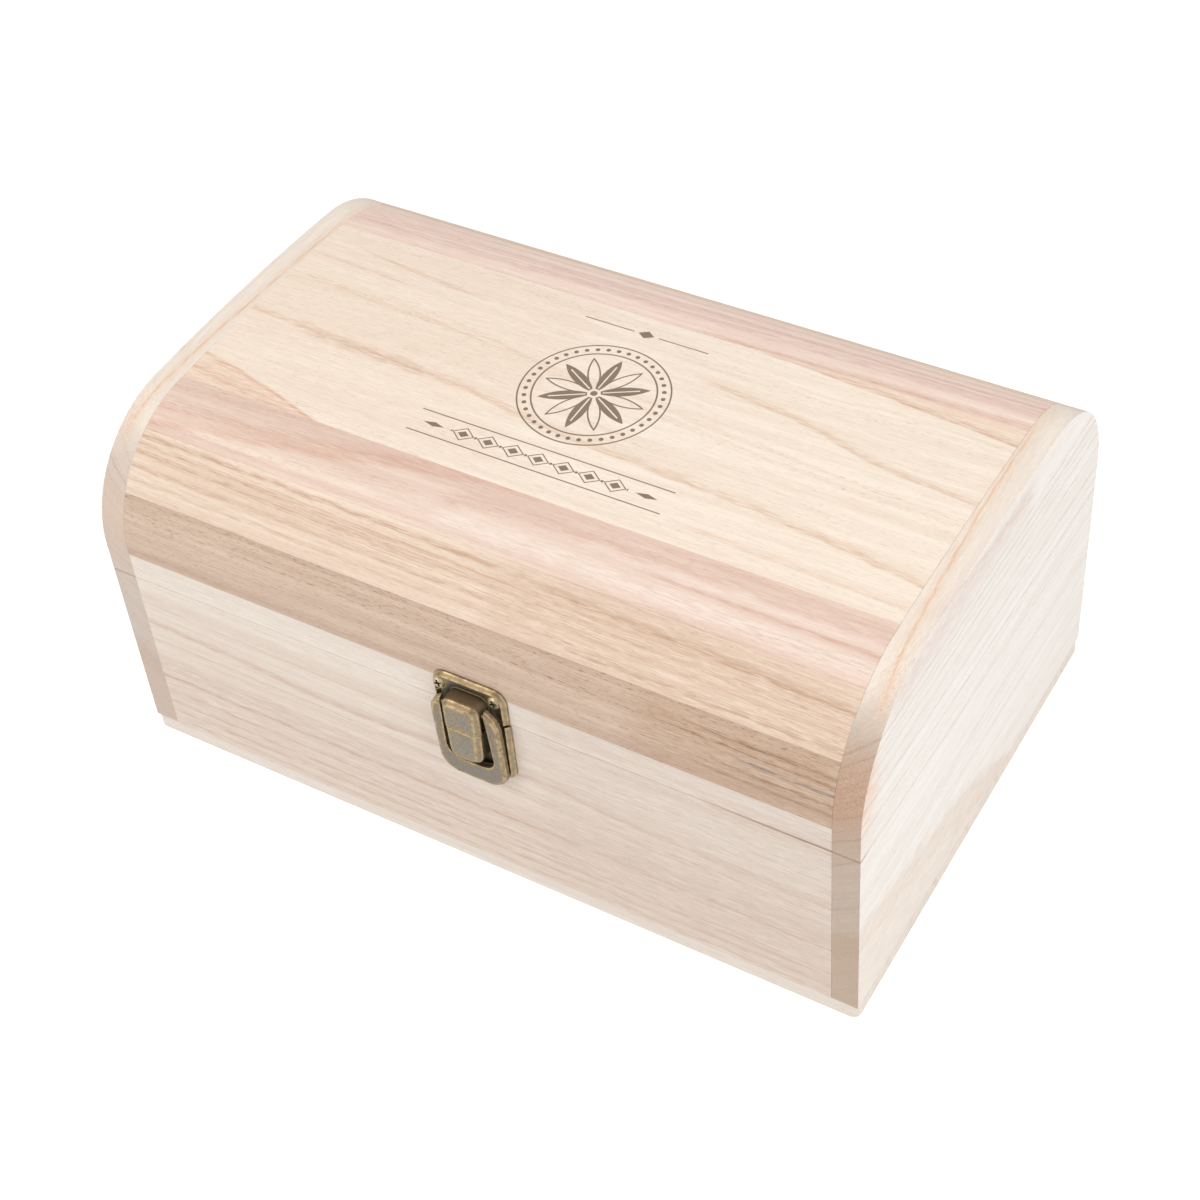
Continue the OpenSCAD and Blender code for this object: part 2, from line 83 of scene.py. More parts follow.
# %% [markdown]
# ## Small helpers for materials
# A material is a tree of nodes. Adding nodes by hand in the editor is quick, but in a script each
# one takes several lines, so these helpers add a node, fill its inputs and give back its output.
# They work on the tree that is on the bench, as the editor does on the tree that is open. A value
# may be a number or another node's output. Colours are written as on screen, and turned into the
# linear values that the shader works with.

# %% Helpers for node trees
bench = {}


def set_all(thing, settings):
    """Sets the named properties of a node, a modifier or a lamp."""
    for name, setting in settings.items():
        setattr(thing, name, setting)


def put(socket, value):
    """Gives a socket its value, or links an output to it."""
    if isinstance(value, bpy.types.NodeSocket):
        socket.id_data.links.new(value, socket)
    else:
        socket.default_value = value


def fill(node, values):
    """Fills a node's inputs, found by name or number."""
    for name, value in values.items():
        put(node.inputs[name], value)


def add(kind, values, **settings):
    """Adds a node with its settings, and fills its inputs."""
    node = bench["tree"].nodes.new(kind)
    set_all(node, settings)
    fill(node, values)
    return node


def maths(operation, *values):
    """One step of arithmetic."""
    return add("ShaderNodeMath", dict(enumerate(values)), operation=operation).outputs[0]


def plus(first, second):
    """The sum of two values."""
    return maths("ADD", first, second)


def minus(first, second):
    """The first value without the second."""
    return maths("SUBTRACT", first, second)


def times(product, *factors):
    """The product of two or more values."""
    for factor in factors:
        product = maths("MULTIPLY", product, factor)
    return product


def over(first, second):
    """The first value divided by the second."""
    return maths("DIVIDE", first, second)


def either(highest, *masks):
    """The highest of several masks."""
    for mask in masks:
        highest = maths("MAXIMUM", highest, mask)
    return highest


def vector_maths(operation, *values):
    """One step of arithmetic on vectors that gives a vector."""
    return add("ShaderNodeVectorMath", dict(enumerate(values)), operation=operation).outputs[0]


def dot(first, second):
    """How far one vector reaches along another."""
    node = add("ShaderNodeVectorMath", {0: first, 1: second}, operation="DOT_PRODUCT")
    return node.outputs["Value"]


def ramp(value, start, end, low=0.0, high=1.0):
    """Rises smoothly from low to high while the value goes from start to end."""
    values = {"Value": value, "From Min": start, "From Max": end, "To Min": low, "To Max": high}
    return add("ShaderNodeMapRange", values, interpolation_type="SMOOTHSTEP").outputs[0]


def blend(amount, first, second, blend_type="MIX"):
    """Mixes two colours, which are inputs 6 and 7 of a Mix node and come out as output 2."""
    values = {0: amount, 6: first, 7: second}
    return add("ShaderNodeMix", values, data_type="RGBA", blend_type=blend_type).outputs[2]


def noise(vector, scale=1.0, detail=2.0, roughness=0.5):
    """Soft noise around one half."""
    values = {"Vector": vector, "Scale": scale, "Detail": detail, "Roughness": roughness}
    return add("ShaderNodeTexNoise", values).outputs[0]


def linear(level):
    """One screen colour value from 0 to 255 as the shader's linear value."""
    share = level / 255
    return share / 12.92 if share <= 0.04045 else ((share + 0.055) / 1.055) ** 2.4


def paint(red, green, blue):
    """A colour as it looks on screen."""
    return (linear(red), linear(green), linear(blue), 1.0)


def times_colour(colour, tint):
    """A colour multiplied by a tint."""
    return blend(1.0, colour, tint, "MULTIPLY")


def split(vector):
    """The three numbers of a vector, as outputs X, Y and Z."""
    return add("ShaderNodeSeparateXYZ", {0: vector}).outputs


print("helpers ready, with white as", paint(255, 255, 255))

# %% [markdown]
# A node group is built once, with named inputs and outputs, and placed in every material that
# needs it. A material's own tree holds its Principled shader.

# %% Helpers for groups and materials
def new_group(name, inputs, outputs, kind="NodeSocketFloat"):
    """Puts a new node group on the bench: the group, its inputs and its outputs."""
    group = bpy.data.node_groups.new(name, "ShaderNodeTree")
    bench["tree"] = group
    for label, value in inputs.items():
        given_kind = "NodeSocketVector" if isinstance(value, tuple) else "NodeSocketFloat"
        socket = group.interface.new_socket(label, in_out="INPUT", socket_type=given_kind)
        socket.default_value = value
    for label in outputs:
        group.interface.new_socket(label, in_out="OUTPUT", socket_type=kind)
    return group, add("NodeGroupInput", {}).outputs, add("NodeGroupOutput", {}).inputs


def place_group(group, **values):
    """Places a group on the bench, with its inputs' values."""
    return add("ShaderNodeGroup", values, node_tree=group).outputs


def new_material(name):
    """Puts a new material on the bench: the material and its Principled shader."""
    material = bpy.data.materials.new(name)
    material.use_nodes = True
    bench["tree"] = material.node_tree
    return material, material.node_tree.nodes["Principled BSDF"]


print("groups and materials can be made")

# %% [markdown]
# ## Where a point lies in its board
# Grain belongs to the board it grew in: it runs along the board, and it changes quickly across
# it. This group turns a point of the box into three distances in millimetres: along the board,
# across its face, and into its depth. The staves of the curved lid lean, so each has its own
# across and depth directions. Object coordinates keep the grain fixed when the lid opens.

# %% Node group: place in the board
board_place, given, result = new_group(
    "board_place",
    {"Along": (1, 0, 0), "Across": (0, 0, 1), "Depth": (0, 1, 0), "Origin": (0, 0, 0), "Start": 0.0},
    ["Place"], "NodeSocketVector")
MM_PER_METRE = 1000
point = add("ShaderNodeTexCoord", {}).outputs["Object"]
scaled = add("ShaderNodeVectorMath", {0: point, "Scale": MM_PER_METRE}, operation="SCALE")
offset = vector_maths("SUBTRACT", scaled.outputs[0], given["Origin"])
parts = {
    "X": dot(offset, given["Along"]),
    "Y": plus(dot(offset, given["Across"]), given["Start"]),
    "Z": dot(offset, given["Depth"]),
}
put(result["Place"], add("ShaderNodeCombineXYZ", parts).outputs[0])
print("group", board_place.name)

# %% [markdown]
# ## Fibres and pores
# Light timber of this kind is made of fibres a few tenths of a millimetre across and many
# millimetres long, with open pores that show as short dark dashes. Noise does this well once it
# is stretched: divided by a long distance along the board and a short one across, round specks
# become streaks. Where a board is cut across, the same noise shows round specks, as end grain has.

# %% Node group: fibres and pores
wood_fibre, given, result = new_group(
    "wood_fibre", {"Place": (0, 0, 0), "Seed": 0.0},
    ["Bands", "Fibre", "Pores", "Breaks", "Ragged"])


def streaks(place, length, width, seed, detail=2, roughness=0.5):
    """Noise whose specks are as long and as wide as this, and differ with the seed."""
    shrunk = vector_maths("MULTIPLY", place, (1 / length, 1 / width, 1 / width))
    moved = add("ShaderNodeCombineXYZ", {"X": seed, "Y": times(seed, 3.7)})
    moved = vector_maths("ADD", shrunk, moved.outputs[0])
    return noise(moved, detail=detail, roughness=roughness)


place, seed = given["Place"], given["Seed"]
bands = streaks(place, 150, 4.5, seed, 4, 0.62)
fibre = streaks(place, 11, 0.5, seed, 3, 0.65)
pores = streaks(place, 2.6, 0.3, seed, 1)
breaks = streaks(place, 7, 0.45, seed)
ragged = streaks(place, 12, 8, seed)
put(result["Bands"], ramp(bands, 0.3, 0.7))
put(result["Fibre"], ramp(fibre, 0.3, 0.7))
put(result["Pores"], ramp(pores, 0.58, 0.7))
put(result["Breaks"], ramp(breaks, 0.36, 0.6, 0.25, 1.0))
put(result["Ragged"], minus(ragged, 0.5))
print("group", wood_fibre.name)

# %% [markdown]
# ## Growth rings
# Each year the tree adds a layer: pale at first, then a thin dark line. A board cuts through
# those layers, and how it faces them decides the figure. The group measures the distance through
# the layers, bends it with slow noise, makes the years uneven, and draws one line a year that
# grows dark slowly and ends sharply. A random value for each year makes some lines stand out.

# %% Node group: growth rings
growth_rings, given, result = new_group(
    "growth_rings",
    {"Place": (0, 0, 0), "Facing": (0, 1, 0), "Spacing": 4.0, "Sway": 3.0, "Ragged": 0.0,
     "Seed": 0.0},
    ["Line", "Shade"])


def wander(place, length, width, seed, reach):
    """A slow sideways wander of up to the reach, in millimetres."""
    return times(minus(streaks(place, length, width, seed), 0.5), reach)


YEARS_PER_CHANGE = 2.6
UNEVEN_YEARS = 2.2

place, seed = given["Place"], given["Seed"]
slow = wander(place, 120, 60, seed, times(given["Sway"], 4))
through = plus(dot(place, given["Facing"]), plus(slow, given["Ragged"]))
years = over(through, given["Spacing"])
change = plus(over(years, YEARS_PER_CHANGE), seed)
uneven = add("ShaderNodeTexNoise", {"W": change, "Detail": 1.0}, noise_dimensions="1D").outputs[0]
years = plus(years, times(uneven, UNEVEN_YEARS))
part_of_year = maths("FRACT", years)
year = plus(maths("FLOOR", years), seed)
strength = add("ShaderNodeTexWhiteNoise", {"W": year}, noise_dimensions="1D").outputs["Value"]
strength = maths("POWER", strength, 1.8)
rise = ramp(part_of_year, 0.55, 0.9)
fall = ramp(part_of_year, 0.92, 1.0, 1.0, 0.0)
put(result["Line"], times(rise, fall, strength))
put(result["Shade"], times(ramp(part_of_year, 0.0, 0.9), times(fall, strength)))
print("group", growth_rings.name)

# %% [markdown]
# ## Marks at a chosen place
# Noise gives wood in general, but this box has marks of its own: a dark line that wanders along
# the front, a wedge of heartwood in a corner of the lid. Such a mark has a route along the board,
# a width on each side of it, and two ends. The group turns the distance from the route into a
# mask, a little ragged, because a mark is made of single fibres.

# %% Node group: grain mark
grain_mark, given, result = new_group(
    "grain_mark",
    {"Offset": 0.0, "Along": 0.0, "Below": 1.0, "Above": 1.0, "From": -200.0, "To": 200.0,
     "Breaks": 1.0},
    ["Mask"])
END_FADE = 16
is_above = maths("GREATER_THAN", given["Offset"], 0)
widths = {"Value": is_above, "To Min": given["Below"], "To Max": given["Above"]}
width = add("ShaderNodeMapRange", widths).outputs[0]
share = over(given["Offset"], width)
body = maths("EXPONENT", times(share, share, -1))
begins = ramp(given["Along"], given["From"], plus(given["From"], END_FADE))
ends = ramp(given["Along"], minus(given["To"], END_FADE), given["To"], 1.0, 0.0)
body = times(body, given["Breaks"])
put(result["Mask"], times(body, times(begins, ends)))
print("group", grain_mark.name)

# %% [markdown]
# ## End grain
# Where a board is cut across its fibres they stand end on, drink in the light and look darker.
# The group compares the surface's own direction with the direction of the fibres.

# %% Node group: end grain
end_grain, given, result = new_group("end_grain", {"Along": (1, 0, 0)}, ["Mask"])
facing = add("ShaderNodeTexCoord", {}).outputs["Normal"]
across_cut = maths("ABSOLUTE", dot(facing, given["Along"]))
put(result["Mask"], ramp(across_cut, 0.42, 0.8))
print("group", end_grain.name)

# %% [markdown]
# ## One board
# A board's material puts the groups together: a pale and a dark tone mixed by broad bands, the
# year lines, the marks one by one, the end grain, and last the fibres and pores over everything.
# Bare sanded wood is dull, so it is rough, with only a slight sheen, and the pores are real dents
# in it, which a Bump node shows.

# %% Routes and marks on a board
HALF_LENGTH = 150
RAGGED_REACH = 5


def route(along, points):
    """The height of a drawn route above a place along the board, from its few points."""
    low = min(across for _, across in points)
    high = max(across for _, across in points)
    reach = max(high - low, 0.001)
    curve = add("ShaderNodeFloatCurve", {})
    share = over(plus(along, HALF_LENGTH), 2 * HALF_LENGTH)
    put(curve.inputs["Value"], share)
    places = [((x + HALF_LENGTH) / (2 * HALF_LENGTH), (across - low) / reach)
              for x, across in points]
    line = curve.mapping.curves[0]
    line.points[0].location = places[0]
    line.points[1].location = places[-1]
    for x, across in places[1:-1]:
        line.points.new(x, across)
    curve.mapping.update()
    return plus(times(curve.outputs[0], reach), low)


def mark(points, below, above, colour, amount, start=-220, end=220, waver=0.35, side="Y"):
    """A mark in the grain; a straight route is given by its heights at the two ends."""
    if isinstance(points, tuple):
        points = [(-HALF_LENGTH, points[0]), (HALF_LENGTH, points[1])]
    return {"points": points, "below": below, "above": above, "colour": paint(*colour),
            "amount": amount, "start": start, "end": end, "waver": waver, "side": side}


def add_marks(colour, place, marks, texture):
    """Lays the marks over a colour, one after the other."""
    axes = split(place)
    for item in marks:
        line = route(axes["X"], item["points"])
        ragged = times(texture["Ragged"], item["waver"] * RAGGED_REACH)
        beside = plus(minus(axes[item["side"]], line), ragged)
        mask = place_group(
            grain_mark, Offset=beside, Along=axes["X"], Below=item["below"], Above=item["above"],
            From=item["start"], To=item["end"], Breaks=texture["Breaks"])[0]
        colour = blend(times(mask, item["amount"]), colour, item["colour"])
    return colour


print("a mark is as ragged as", RAGGED_REACH, "mm times its waver")

# %% [markdown]
# The function below makes each kind of board. Its numbers say how far apart the year lines are,
# how much they sway and how strong they are, and the marks are laid in their order.

# %% A board's material
FIBRE_DARK = (0.92, 0.905, 0.89, 1)
PORE_TONE = (0.66, 0.54, 0.45, 1)
WHITE = (1, 1, 1, 1)
SHEEN = 0.32
PORE_DEPTH = 0.00008


def wood(name, lie, pale, dark, line, *marks, facing, spacing, sway, line_amount, seed,
         pores=0.35, end_tone=(0.72, 0.66, 0.6, 1), edge_tone=None):
    """A board's material from its screen colours: material, shader and place in the board."""
    pale, dark, line = paint(*pale), paint(*dark), paint(*line)
    material, shader = new_material(name)
    place = place_group(board_place, **lie)["Place"]
    texture = place_group(wood_fibre, Place=place, Seed=seed)
    rings = place_group(growth_rings, Place=place, Facing=facing, Spacing=spacing, Sway=sway,
                        Ragged=texture["Ragged"], Seed=seed)
    colour = blend(texture["Bands"], pale, dark)
    colour = blend(times(rings["Shade"], 0.4 * line_amount), colour, line)
    colour = blend(times(rings["Line"], texture["Breaks"], line_amount), colour, line)
    colour = add_marks(colour, place, marks, texture)
    if edge_tone:
        face = place_group(end_grain, Along=lie["Depth"])["Mask"]
        colour = blend(face, times_colour(colour, edge_tone), colour)
    cut = place_group(end_grain, Along=lie["Along"])["Mask"]
    colour = blend(cut, colour, times_colour(colour, end_tone))
    fibre_tone = blend(texture["Fibre"], FIBRE_DARK, WHITE)
    colour = times_colour(colour, fibre_tone)
    crowded = maths("MULTIPLY_ADD", rings["Shade"], 1.2, 0.5)
    pore_mask = times(texture["Pores"], times(crowded, pores))
    colour = blend(pore_mask, colour, times_colour(colour, PORE_TONE))
    rough = ramp(texture["Fibre"], 0, 1, 0.72, 0.58)
    relief = minus(times(texture["Fibre"], 0.5), texture["Pores"])
    bump = add("ShaderNodeBump", {"Height": relief, "Strength": 0.4, "Distance": PORE_DEPTH})
    fill(shader, {"Base Color": colour, "Roughness": rough, "Specular IOR Level": SHEEN,
                  "Normal": bump.outputs[0]})
    return material, shader, place


print("pores are up to", PORE_DEPTH, "m deep")

# %% [markdown]
# ## How each board lies
# The box stands with its front at the lowest Y. On the flat front a distance across the board is
# simply its height. Over the curved shoulder it goes on as the distance along the surface, so
# that all the places of the front and the lid can be read off one long tape from the table up.

# %% Directions of the boards
SHOULDER_Y = 51.5
SHOULDER_Z = 97.5
SHOULDER_R = 46.0
STAVE_MIDDLES = {1: 15.0, 2: 45.5, 3: 75.0}
RING_SLOPE = 0.7

flat_front = {"Along": (1, 0, 0), "Across": (0, 0, 1), "Depth": (0, 1, 0)}
lid_top = {"Along": (1, 0, 0), "Across": (0, 1, 0), "Depth": (0, 0, 1)}


def end_place(side):
    """How an end board lies, side -1 at the left and 1 at the right; its rings slope inwards."""
    return {"Along": (0, 1, 0), "Across": (-RING_SLOPE * side, 0, 1), "Depth": (1, 0, 0),
            "Origin": (side * HALF_LENGTH, 0, 0)}


def stave_place(number, side):
    """How a stave lies: number from the rail upwards, side -1 at the front and 1 at the back."""
    angle = math.radians(STAVE_MIDDLES[number])
    return {
        "Along": (1, 0, 0),
        "Across": (0, -side * math.sin(angle), math.cos(angle)),
        "Depth": (0, side * math.cos(angle), math.sin(angle)),
        "Origin": (0, side * SHOULDER_Y, SHOULDER_Z),
        "Start": SHOULDER_Z + SHOULDER_R * angle,
    }


for number in STAVE_MIDDLES:
    print("stave", number, "has its middle at", round(stave_place(number, -1)["Start"], 1), "mm")

# %% [markdown]
# ## The front
# One board was sawn through to make the front of the base and the low rail of the lid, so both
# share one material and the grain runs on across the saw cut. It is pale at the top and warmer
# towards the table, with one dark wavy line in the middle and finer ones below. A route's points
# run from -150 at the left end to 150 at the right, with heights off the tape. A route that is
# straight from end to end gives only its two heights.

# %% Front board
BROWN = (196, 160, 134)
ROSE = (204, 172, 154)
wood_front = wood(
    "wood_front", flat_front, (240, 229, 217), (231, 216, 203), (214, 190, 172),
    mark((30, 34), 60, 12, (223, 203, 187), 0.75, waver=1.5),
    mark([(-150, 62.8), (-87, 58.8), (-50, 56.5), (25, 59.5), (62, 56.3), (150, 54.6)],
         0.6, 2.6, ROSE, 0.62),
    mark([(-150, 41.5), (0, 40), (150, 39)], 4.5, 3, (213, 194, 181), 0.55, waver=1),
    mark([(-150, 33.4), (-40, 32.8), (60, 33.2), (150, 31)], 0.6, 1.3, BROWN, 0.62),
    mark((25.2, 24.2), 0.6, 1.4, ROSE, 0.5, start=-145, end=60),
    mark((22, 20.2), 0.5, 1.2, ROSE, 0.45, start=-60, end=180),
    mark((19, 18), 0.7, 1, ROSE, 0.55),
    mark((13.6, 13), 0.5, 1.6, BROWN, 0.42),
    mark((9, 8.4), 0.5, 0.8, ROSE, 0.45),
    mark((49, 47.5), 0.8, 1.5, ROSE, 0.25, start=-120, end=120),
    mark((74, 71.5), 1.2, 2.5, (222, 204, 190), 0.35),
    mark([(60, 84.8), (150, 85.4)], 3.4, 2.4, (206, 178, 158), 0.55, start=88),
    mark([(-150, 89), (0, 88)], 5, 7, (247, 238, 228), 0.7, end=40, waver=1),
    # painted shade: the front darkens from the middle to the right end
    mark([(0, 55), (150, 55)], 62, 74, (216, 199, 187), 0.56, start=20, waver=3),
    facing=(0.012, 1, 0.35), spacing=4.6, sway=2.4, line_amount=0.5, pores=0.3, seed=2.0)
print("front board has", len(wood_front[0].node_tree.nodes), "nodes")

# %% [markdown]
# ## The curved staves
# Three narrow staves climb the shoulder, and each came from another plank: the first is tan and
# closely striped, the second is cream with brown stripes, and the third is rosy.

# %% Staves of the front
wood_stave_1 = wood(
    "wood_stave_1", stave_place(1, -1), (221, 198, 178), (206, 181, 161), (184, 155, 133),
    mark([(40, 110), (150, 108)], 30, 30, (192, 159, 132), 0.7, start=60, waver=2),
    mark([(80, 110.6), (150, 109.2)], 0.45, 0.6, (120, 114, 118), 0.95, start=98, waver=0.2),
    mark([(60, 116.4), (150, 115.6)], 0.6, 0.8, (148, 114, 88), 0.8, start=84, waver=0.3),
    mark([(80, 106.6), (150, 105.2)], 0.5, 0.8, (150, 116, 92), 0.7, start=92, waver=0.3),
    mark([(70, 113.4), (150, 112.6)], 0.4, 0.6, (156, 122, 96), 0.7, start=76, waver=0.3),
    mark([(60, 102.6), (150, 101.8)], 0.5, 0.9, (160, 126, 102), 0.6, start=84, waver=0.3),
    mark([(-150, 113), (20, 112)], 1.2, 2, (226, 204, 184), 0.6, end=30),
    mark((99, 99.6), 1.6, 1.8, (196, 166, 148), 0.55),
    facing=(0.004, 1, 0.1), spacing=1.9, sway=0.7, line_amount=0.85, pores=0.75, seed=11.0)
wood_stave_2 = wood(
    "wood_stave_2", stave_place(2, -1), (243, 224, 205), (231, 207, 187), (196, 158, 128),
    mark([(-150, 143.4), (-60, 143), (150, 138.5)], 0.6, 1.4, (190, 148, 116), 0.7),
    mark((140.6, 136), 0.5, 1.2, (200, 160, 130), 0.6),
    mark((137.4, 133.4), 0.6, 1.3, (196, 156, 124), 0.55),
    mark((132.4, 129.8), 0.5, 1.3, (200, 162, 132), 0.6),
    mark((127.6, 126), 0.5, 1.2, (202, 166, 138), 0.5),
    mark([(0, 134), (150, 132)], 30, 30, (219, 191, 168), 0.7, start=0, waver=2),
    mark([(0, 141.5), (150, 137)], 0.5, 1.1, (184, 146, 114), 0.7, start=20, waver=0.3),
    mark([(0, 125.4), (150, 124.6)], 0.6, 1.2, (192, 156, 128), 0.6, start=30),
    facing=(0.03, 1, 0.15), spacing=2.3, sway=0.8, line_amount=0.5, pores=0.35, seed=23.0)
wood_stave_3 = wood(
    "wood_stave_3", stave_place(3, -1), (240, 218, 202), (228, 199, 183), (210, 168, 144),
    mark([(-150, 148), (-100, 154), (-10, 170), (40, 176)], 1, 4, (216, 172, 148), 0.6,
         end=30, waver=0.8),
    mark([(-150, 155), (-70, 163), (-30, 171)], 0.8, 2.4, (214, 170, 150), 0.5, end=-20),
    mark([(-150, 150.6), (-40, 151.4)], 1.4, 1.6, (249, 232, 214), 0.75, start=-132, end=-38),
    mark([(-20, 158), (40, 162), (150, 163)], 2.2, 6, (221, 184, 168), 0.55, start=-30, waver=1.4),
    mark([(0, 153), (150, 152)], 4, 2.6, (250, 236, 224), 0.7, start=-30, waver=0.8),
    mark([(20, 160.5), (150, 161)], 1.4, 1.4, (250, 232, 222), 0.6, start=20, end=150, waver=1.4),
    mark([(30, 157.6), (150, 157)], 0.5, 1, (206, 160, 140), 0.55, start=50),
    mark([(-60, 168), (150, 168.6)], 1, 1.6, (226, 190, 172), 0.5, start=-60),
    facing=(-0.1, 1, 0.2), spacing=4.4, sway=1.6, line_amount=0.35, pores=0.3, seed=31.0)
print("staves", wood_stave_1[0].name, wood_stave_2[0].name, wood_stave_3[0].name)

# %% [markdown]
# ## The top of the lid
# The widest board is the palest. It was cut near the bark, so its lines are few and sway from
# side to side, and a wedge of warmer heartwood fills the corner at the front left.

# %% Top board
HONEY = (219, 182, 150)
wedge = [(-150, -35), (-120, -40.4), (-87, -49), (-60, -56)]
wood_top = wood(
    "wood_top", lid_top, (253, 239, 223), (246, 228, 210), (232, 203, 177),
    mark([(-150, 10), (0, 8)], 70, 70, (243, 222, 202), 0.6, end=-10, waver=3),
    mark([(30, 50.6), (90, 46.6), (150, 39.6)], 0.6, 2.6, (207, 163, 128), 0.75, start=36),
    mark([(60, 53), (150, 47)], 3, 6, (240, 209, 180), 0.7, start=56, waver=1),
    mark([(10, 28), (70, 20.6), (104, 12), (150, 7)], 0.6, 2.6, HONEY, 0.62, start=22),
    mark([(-150, -8.4), (-100, -10.4), (-60, -12.5), (0, -20), (60, -24), (100, -27.5), (150, -35)],
         0.7, 2.6, HONEY, 0.62, waver=0.8),
    mark([(-130, -11), (-50, -13.5)], 1.5, 2.5, (206, 168, 140), 0.5, start=-122, end=-52,
         waver=0.8),
    mark([(0, -40), (150, -44)], 0.6, 2, HONEY, 0.35, start=50),
    mark([(-150, 46), (-90, 35), (-40, 31)], 0.5, 1.6, HONEY, 0.5, start=-128, end=-60),
    mark([(-150, 30.6), (-80, 28)], 0.5, 1.4, HONEY, 0.42, start=-145, end=-86),
    mark([(-150, 16), (-60, 12), (20, 4)], 0.6, 2, HONEY, 0.32, start=-140, end=-20),
    mark(wedge, 40, 1, (236, 203, 178), 0.85, end=-66),
    mark(wedge, 0.7, 0.6, (214, 170, 140), 0.7, end=-66),
    mark([(-150, -43), (-100, -50)], 0.8, 1.6, (222, 180, 152), 0.6, end=-84),
    facing=(0.05, 1, 0.5), spacing=9.0, sway=6.0, line_amount=0.28, pores=0.4, seed=41.0)
print("top board has", len(wood_top[0].node_tree.nodes), "nodes")

# %% [markdown]
# ## The ends
# Each end is one plank with its fibres running from front to back, cut to the arch and then sawn
# through. Its face is nearly white, with fine grey lines and a warmer tongue at the bottom. Its
# front edge is end grain, darker and browner, and a warm tone lies over the shoulder. On the
# crown the edge turns into pale long grain. Routes run from -98 at the front to 98 at the back.

# %% End boards
GREY_LINE = (203, 194, 187)
ORANGE = (222, 170, 124)
tongue = [(-98, 45), (-60, 38.4), (-15, 27), (22, 10), (60, -12)]
fine_lines = [
    (96.5, 84, 0.7), (85, 69, 0.55), (107, 95, 0.7), (113.5, 106, 0.8), (119, 113, 0.85),
    (122.5, 117.5, 0.6), (126, 121.5, 0.8), (130, 126, 0.75), (101, 90, 0.4), (62, 52, 0.3),
]
end_marks = [
    mark(tongue, 70, 5, (238, 225, 213), 1.0, end=90, waver=3.5),
    mark(tongue, 5, 3, (228, 211, 199), 0.45, end=60, waver=3.5),
    mark([(-98, 38), (-20, 20), (0, 12), (30, -4)], 1, 3, (229, 212, 199), 0.5, end=20, waver=2),
    mark([(-98, 30), (-10, 16), (40, 6)], 6, 2, (229, 214, 202), 0.5, start=-30, end=80, waver=2),
    mark([(-98, 137), (-20, 139), (98, 128)], 10, 4, (226, 209, 200), 0.9, start=-85, end=40),
    *[mark([(-98, front), (98, rear)], 0.3, 0.6, GREY_LINE, amount, waver=0.45)
      for front, rear, amount in fine_lines],
    mark([(-98, 117), (98, 112)], 14, 12, (236, 229, 222), 0.55, end=70, waver=2),
    mark([(-60, 146), (-10, 141), (30, 134)], 1, 1.6, (221, 200, 188), 0.6, start=-50, end=40),
]


def edge_marks(side):
    """The orange vein that wanders along an end board's narrow top edge."""
    vein = [(-98, 147.6), (-75, 146.4), (-60, 145), (-30, 143.6), (0, 142.2), (30, 141.4), (98, 141)]
    points = [(along, side * (out - HALF_LENGTH)) for along, out in vein]
    return [
        mark(points, 0.4, 0.5, ORANGE, 0.7, start=-82, end=60, waver=0.3, side="Z"),
        mark(points, 2.2, 2.2, (243, 212, 182), 0.45, start=-90, end=80, waver=0.4, side="Z"),
    ]


def end_board(name, side, seed, end_tone, front_tone, amount):
    """The material of an end board, side -1 at the left and 1 at the right."""
    shoulder = mark([(-98, 118), (98, 118)], 24, 24, front_tone, amount, start=-140, end=-80)
    return wood(
        name, end_place(side), (247, 243, 238), (242, 236, 229), (214, 204, 195),
        *end_marks, shoulder, *edge_marks(side), facing=(0.06, 1, 0), spacing=2.6, sway=1.6,
        line_amount=0.35, end_tone=end_tone, edge_tone=paint(253, 245, 237), pores=0.3, seed=seed)


wood_right_end = end_board("wood_right_end", 1, 53.0, paint(212, 204, 198), (236, 186, 150), 0.75)
wood_left_end = end_board("wood_left_end", -1, 67.0, paint(225, 221, 221), (255, 238, 221), 0.95)
print("each end face has", len(end_marks), "marks")

# %% [markdown]
# ## The back and the bottom
# The photograph shows the first stave of the back, rosy with mauve streaks. The rest of the back
# isn't seen, so it is made from the same kinds of plank in another order.

# %% Back and bottom boards
wood_back_stave_3 = wood(
    "wood_back_stave_3", stave_place(3, 1), (250, 228, 214), (240, 213, 198), (203, 166, 150),
    mark((170.6, 169), 0.8, 1.4, (216, 174, 144), 0.6, start=10),
    mark([(-150, 165), (0, 163), (150, 160)], 3, 2, (222, 189, 176), 0.65, waver=1),
    mark((158, 155), 1.4, 1, (214, 178, 166), 0.55),
    mark((152, 150), 1.2, 1.6, (216, 184, 170), 0.55),
    facing=(0.02, 1, 0.2), spacing=3.0, sway=1.4, line_amount=0.55, pores=0.35, seed=71.0)
wood_back_stave_2 = wood(
    "wood_back_stave_2", stave_place(2, 1), (239, 218, 198), (228, 203, 181), (200, 164, 136),
    facing=(0.02, 1, 0.2), spacing=2.8, sway=1.2, line_amount=0.6, seed=83.0)
wood_back_stave_1 = wood(
    "wood_back_stave_1", stave_place(1, 1), (224, 202, 183), (211, 187, 168), (188, 160, 139),
    facing=(0.01, 1, 0.1), spacing=2.2, sway=0.9, line_amount=0.55, seed=97.0)
wood_back = wood(
    "wood_back", flat_front, (237, 225, 212), (227, 211, 196), (208, 181, 162),
    mark([(-150, 68), (-40, 64), (60, 69), (150, 66)], 0.6, 2.6, ROSE, 0.6),
    mark((52, 49), 0.6, 2, ROSE, 0.5),
    mark([(-150, 30), (0, 26), (150, 29)], 30, 2, (226, 205, 188), 0.7, waver=1.2),
    facing=(-0.015, 1, 0.4), spacing=5.2, sway=3.0, line_amount=0.5, seed=103.0)
